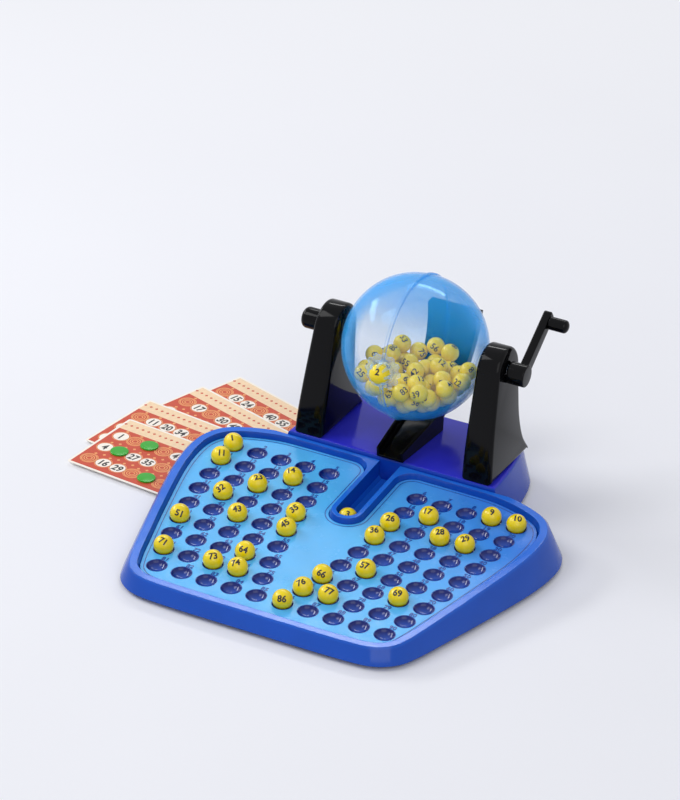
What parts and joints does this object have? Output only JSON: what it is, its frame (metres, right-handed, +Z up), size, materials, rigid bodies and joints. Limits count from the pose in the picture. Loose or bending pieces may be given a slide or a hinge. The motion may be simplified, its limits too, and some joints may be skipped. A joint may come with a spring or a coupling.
{
  "type": "bingo game",
  "caption": "Tabletop bingo game: a crank turns a clear globe of number balls, and a claw, chute and channel bring them to a tray of numbered cups, with cards and markers.",
  "frame": {"origin": "middle of the bounding box, on the table", "axes": "+X to the right along the globe axle, towards the crank; +Y from the tray to the stand; +Z up"},
  "size_m": [0.3694, 0.3154, 0.1605],
  "materials": {
    "deep_blue_plastic": "moulded, glossy",
    "sky_blue_plastic": "moulded, glossy",
    "violet_blue_plastic": "moulded, glossy",
    "black_plastic": "moulded, glossy",
    "clear_blue_plastic": "clear, lightly tinted",
    "yellow_plastic": "glossy, printed with a number",
    "green_plastic": "glossy",
    "printed_card": "matt, printed"
  },
  "bodies": {
    "base": {"tray_frame": "deep_blue_plastic", "cup_board": "sky_blue_plastic", "stand_base": "violet_blue_plastic", "left_upright": "black_plastic", "right_upright": "black_plastic", "ball_chute": "black_plastic", "globe_balls": "yellow_plastic"},
    "globe": {"globe_left_half": "clear_blue_plastic", "globe_right_half": "clear_blue_plastic", "exit_claw": "clear_blue_plastic", "claw_ball": "yellow_plastic", "left_knob": "black_plastic", "crank_arm": "black_plastic"},
    "handle": {"crank_handle": "black_plastic"},
    "ball_01": {"ball_01": "yellow_plastic"},
    "ball_03": {"ball_03": "yellow_plastic"},
    "ball_09": {"ball_09": "yellow_plastic"},
    "ball_10": {"ball_10": "yellow_plastic"},
    "ball_11": {"ball_11": "yellow_plastic"},
    "ball_14": {"ball_14": "yellow_plastic"},
    "ball_17": {"ball_17": "yellow_plastic"},
    "ball_23": {"ball_23": "yellow_plastic"},
    "ball_26": {"ball_26": "yellow_plastic"},
    "ball_28": {"ball_28": "yellow_plastic"},
    "ball_29": {"ball_29": "yellow_plastic"},
    "ball_32": {"ball_32": "yellow_plastic"},
    "ball_35": {"ball_35": "yellow_plastic"},
    "ball_36": {"ball_36": "yellow_plastic"},
    "ball_43": {"ball_43": "yellow_plastic"},
    "ball_45": {"ball_45": "yellow_plastic"},
    "ball_51": {"ball_51": "yellow_plastic"},
    "ball_57": {"ball_57": "yellow_plastic"},
    "ball_64": {"ball_64": "yellow_plastic"},
    "ball_66": {"ball_66": "yellow_plastic"},
    "ball_69": {"ball_69": "yellow_plastic"},
    "ball_71": {"ball_71": "yellow_plastic"},
    "ball_73": {"ball_73": "yellow_plastic"},
    "ball_74": {"ball_74": "yellow_plastic"},
    "ball_76": {"ball_76": "yellow_plastic"},
    "ball_77": {"ball_77": "yellow_plastic"},
    "ball_86": {"ball_86": "yellow_plastic"},
    "card_1": {"card_1": "printed_card"},
    "card_2": {"card_2": "printed_card"},
    "card_3": {"card_3": "printed_card"},
    "card_4": {"card_4": "printed_card"},
    "marker_1": {"marker_1": "green_plastic"},
    "marker_2": {"marker_2": "green_plastic"},
    "marker_3": {"marker_3": "green_plastic"}
  },
  "joints": [
    {"name": "globe_spin", "type": "hinge", "parent": "base", "child": "globe", "pos_m": [0.0386, 0.08445, 0.1075], "axis": [1, 0, 0], "continuous": true},
    {"name": "handle_spin", "type": "hinge", "parent": "globe", "child": "handle", "pos_m": [0.12354, 0.12005, 0.13336], "axis": [1, 0, 0], "continuous": true},
    {"name": "channel_ball_roll", "type": "slide", "parent": "base", "child": "ball_03", "axis": [0, 0.9976, 0.0698], "range_m": [0, 0.055]},
    {"name": "card_1_slide", "type": "slide", "parent": "base", "child": "card_1", "axis": [-0.9945, 0.1045, 0], "range_m": [0, 0.06]},
    {"name": "card_2_slide", "type": "slide", "parent": "base", "child": "card_2", "axis": [-0.9903, 0.1392, 0], "range_m": [0, 0.06]},
    {"name": "card_3_slide", "type": "slide", "parent": "base", "child": "card_3", "axis": [-0.9511, 0.309, 0], "range_m": [0, 0.06]},
    {"name": "card_4_slide", "type": "slide", "parent": "base", "child": "card_4", "axis": [-0.9455, 0.3256, 0], "range_m": [0, 0.06]},
    {"name": "lift_ball_01", "type": "slide", "parent": "base", "child": "ball_01", "axis": [0, -0.0698, 0.9976], "range_m": [0, 0.03]},
    {"name": "lift_ball_09", "type": "slide", "parent": "base", "child": "ball_09", "axis": [0, -0.0698, 0.9976], "range_m": [0, 0.03]},
    {"name": "lift_ball_10", "type": "slide", "parent": "base", "child": "ball_10", "axis": [0, -0.0698, 0.9976], "range_m": [0, 0.03]},
    {"name": "lift_ball_11", "type": "slide", "parent": "base", "child": "ball_11", "axis": [0, -0.0698, 0.9976], "range_m": [0, 0.03]},
    {"name": "lift_ball_14", "type": "slide", "parent": "base", "child": "ball_14", "axis": [0, -0.0698, 0.9976], "range_m": [0, 0.03]},
    {"name": "lift_ball_17", "type": "slide", "parent": "base", "child": "ball_17", "axis": [0, -0.0698, 0.9976], "range_m": [0, 0.03]},
    {"name": "lift_ball_23", "type": "slide", "parent": "base", "child": "ball_23", "axis": [0, -0.0698, 0.9976], "range_m": [0, 0.03]},
    {"name": "lift_ball_26", "type": "slide", "parent": "base", "child": "ball_26", "axis": [0, -0.0698, 0.9976], "range_m": [0, 0.03]},
    {"name": "lift_ball_28", "type": "slide", "parent": "base", "child": "ball_28", "axis": [0, -0.0698, 0.9976], "range_m": [0, 0.03]},
    {"name": "lift_ball_29", "type": "slide", "parent": "base", "child": "ball_29", "axis": [0, -0.0698, 0.9976], "range_m": [0, 0.03]},
    {"name": "lift_ball_32", "type": "slide", "parent": "base", "child": "ball_32", "axis": [0, -0.0698, 0.9976], "range_m": [0, 0.03]},
    {"name": "lift_ball_35", "type": "slide", "parent": "base", "child": "ball_35", "axis": [0, -0.0698, 0.9976], "range_m": [0, 0.03]},
    {"name": "lift_ball_36", "type": "slide", "parent": "base", "child": "ball_36", "axis": [0, -0.0698, 0.9976], "range_m": [0, 0.03]},
    {"name": "lift_ball_43", "type": "slide", "parent": "base", "child": "ball_43", "axis": [0, -0.0698, 0.9976], "range_m": [0, 0.03]},
    {"name": "lift_ball_45", "type": "slide", "parent": "base", "child": "ball_45", "axis": [0, -0.0698, 0.9976], "range_m": [0, 0.03]},
    {"name": "lift_ball_51", "type": "slide", "parent": "base", "child": "ball_51", "axis": [0, -0.0698, 0.9976], "range_m": [0, 0.03]},
    {"name": "lift_ball_57", "type": "slide", "parent": "base", "child": "ball_57", "axis": [0, -0.0698, 0.9976], "range_m": [0, 0.03]},
    {"name": "lift_ball_64", "type": "slide", "parent": "base", "child": "ball_64", "axis": [0, -0.0698, 0.9976], "range_m": [0, 0.03]},
    {"name": "lift_ball_66", "type": "slide", "parent": "base", "child": "ball_66", "axis": [0, -0.0698, 0.9976], "range_m": [0, 0.03]},
    {"name": "lift_ball_69", "type": "slide", "parent": "base", "child": "ball_69", "axis": [0, -0.0698, 0.9976], "range_m": [0, 0.03]},
    {"name": "lift_ball_71", "type": "slide", "parent": "base", "child": "ball_71", "axis": [0, -0.0698, 0.9976], "range_m": [0, 0.03]},
    {"name": "lift_ball_73", "type": "slide", "parent": "base", "child": "ball_73", "axis": [0, -0.0698, 0.9976], "range_m": [0, 0.03]},
    {"name": "lift_ball_74", "type": "slide", "parent": "base", "child": "ball_74", "axis": [0, -0.0698, 0.9976], "range_m": [0, 0.03]},
    {"name": "lift_ball_76", "type": "slide", "parent": "base", "child": "ball_76", "axis": [0, -0.0698, 0.9976], "range_m": [0, 0.03]},
    {"name": "lift_ball_77", "type": "slide", "parent": "base", "child": "ball_77", "axis": [0, -0.0698, 0.9976], "range_m": [0, 0.03]},
    {"name": "lift_ball_86", "type": "slide", "parent": "base", "child": "ball_86", "axis": [0, -0.0698, 0.9976], "range_m": [0, 0.03]},
    {"name": "lift_marker_1", "type": "slide", "parent": "card_1", "child": "marker_1", "axis": [0, 0, 1], "range_m": [0, 0.02]},
    {"name": "lift_marker_2", "type": "slide", "parent": "card_1", "child": "marker_2", "axis": [0, 0, 1], "range_m": [0, 0.02]},
    {"name": "lift_marker_3", "type": "slide", "parent": "card_1", "child": "marker_3", "axis": [0, 0, 1], "range_m": [0, 0.02]}
  ]
}
